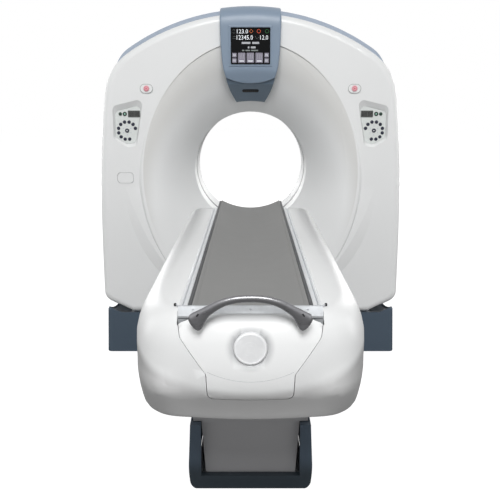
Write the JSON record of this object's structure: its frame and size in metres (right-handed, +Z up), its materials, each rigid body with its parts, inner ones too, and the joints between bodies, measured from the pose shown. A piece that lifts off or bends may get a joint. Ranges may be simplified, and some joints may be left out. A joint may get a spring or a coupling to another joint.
{
  "type": "ct scanner",
  "caption": "Computed-tomography scanner: tilting ring housing with a round bore and a dished front, and a lifting table whose cradle slides through the bore.",
  "frame": {"origin": "on the floor, straight below the point where the bore axis meets the tilt axis", "axes": "+Z up; +Y from the foot of the table into the bore; +X to the right of someone who stands at the foot of the table"},
  "size_m": [1.81, 3.219, 2.079],
  "materials": {
    "white_cover": "satin, warm white moulded skin",
    "crown_blue": "satin blue-grey",
    "console_blue": "satin blue-grey",
    "console_dark": "satin slate blue",
    "navy_base": "fine texture, dark slate",
    "screen_glass": "smooth display glass",
    "pad_grey": "satin grey membrane",
    "red_button": "smooth red",
    "window_dark": "smooth smoked ring",
    "painted_frame": "powder coat",
    "bare_steel": "machined",
    "motor_black": "satin black",
    "drum_aluminium": "machined",
    "detector_grey": "anodised",
    "belt_rubber": "matt ribbed",
    "copper_ring": "turned tracks",
    "mat_grey": "soft matt pad skin",
    "cradle_grey": "smooth gel-coated laminate",
    "rail_aluminium": "anodised, satin",
    "panel_grey": "fine texture",
    "badge_grey": "plain disc",
    "foot_rubber": "matt"
  },
  "bodies": {
    "floor_frame": {"gantry_base_frame": "painted_frame", "levelling_feet": "foot_rubber", "base_cover_front": "navy_base", "base_cover_rear": "navy_base", "tilt_bearing_left": "bare_steel", "tilt_bearing_right": "bare_steel", "tilt_gearmotor": "motor_black", "cable_duct": "navy_base", "table_base_plate": "painted_frame", "pedestal_cover": "navy_base", "pedestal_front_panel": "panel_grey", "lift_column_base": "bare_steel", "lift_motor": "motor_black"},
    "lift_stage": {"lift_column_middle": "bare_steel", "shroud_middle": "panel_grey"},
    "table": {"lift_column_top": "bare_steel", "shroud_top": "panel_grey", "table_frame": "painted_frame", "cradle_guides": "bare_steel", "cradle_drive_motor": "motor_black", "table_shell": "white_cover", "table_end_cover": "white_cover", "table_end_plate": "rail_aluminium", "badge_disc": "badge_grey", "grab_handle": "rail_aluminium", "side_rail_left": "rail_aluminium", "side_rail_right": "rail_aluminium"},
    "cradle": {"cradle_shell": "cradle_grey", "cradle_mat": "mat_grey", "cradle_carriage": "bare_steel"},
    "gantry": {"tilt_frame": "painted_frame", "front_cover": "white_cover", "rear_cover": "white_cover", "side_cover_left": "white_cover", "side_cover_right": "white_cover", "crown_band": "crown_blue", "bottom_pan": "navy_base", "scan_window": "window_dark", "console_housing": "console_blue", "console_lower_cover": "console_dark", "console_display": "screen_glass", "keypad_left": "pad_grey", "keypad_right": "pad_grey", "stop_bezel_left": "white_cover", "stop_bezel_right": "white_cover", "service_hatch": "white_cover", "rotor_bearing_outer": "bare_steel", "rotor_drive_motor": "motor_black", "drive_belt": "belt_rubber", "brush_block": "motor_black"},
    "rotor": {"rotor_drum": "drum_aluminium", "xray_tube": "bare_steel", "high_voltage_generator": "painted_frame", "rotor_power_unit": "painted_frame", "detector_arc": "detector_grey", "slip_ring": "copper_ring"},
    "pulley": {"drive_pulley": "drum_aluminium", "rotor_drive_shaft": "bare_steel"},
    "left_stop": {"stop_button_left": "red_button"},
    "right_stop": {"stop_button_right": "red_button"}
  },
  "joints": [
    {"name": "gantry_tilt", "type": "hinge", "parent": "floor_frame", "child": "gantry", "pos_m": [0, 0, 1.13], "axis": [-1, 0, 0], "range_deg": [-24, 24]},
    {"name": "rotor_spin", "type": "hinge", "parent": "gantry", "child": "rotor", "pos_m": [0, 0, 1.13], "axis": [0, 1, 0], "continuous": true},
    {"name": "pulley_spin", "type": "hinge", "parent": "gantry", "child": "pulley", "pos_m": [0.56, 0.0775, 0.57], "axis": [0, 1, 0], "continuous": true},
    {"name": "table_lift", "type": "slide", "parent": "floor_frame", "child": "table", "axis": [0, 0, 1], "range_m": [-0.42, 0.08]},
    {"name": "stage_lift", "type": "slide", "parent": "floor_frame", "child": "lift_stage", "axis": [0, 0, 1], "range_m": [-0.212, 0.042]},
    {"name": "cradle_slide", "type": "slide", "parent": "table", "child": "cradle", "axis": [0, 1, 0], "range_m": [0, 1.6]},
    {"name": "left_stop_press", "type": "slide", "parent": "gantry", "child": "left_stop", "axis": [0, 1, 0], "range_m": [0, 0.004], "stiffness_N_per_m": 1200, "springref_m": -0.002},
    {"name": "right_stop_press", "type": "slide", "parent": "gantry", "child": "right_stop", "axis": [0, 1, 0], "range_m": [0, 0.004], "stiffness_N_per_m": 1200, "springref_m": -0.002}
  ],
  "couplings": [
    {"joint": "pulley_spin", "follows": "rotor_spin", "ratio": 13},
    {"joint": "stage_lift", "follows": "table_lift", "ratio": 0.5}
  ]
}
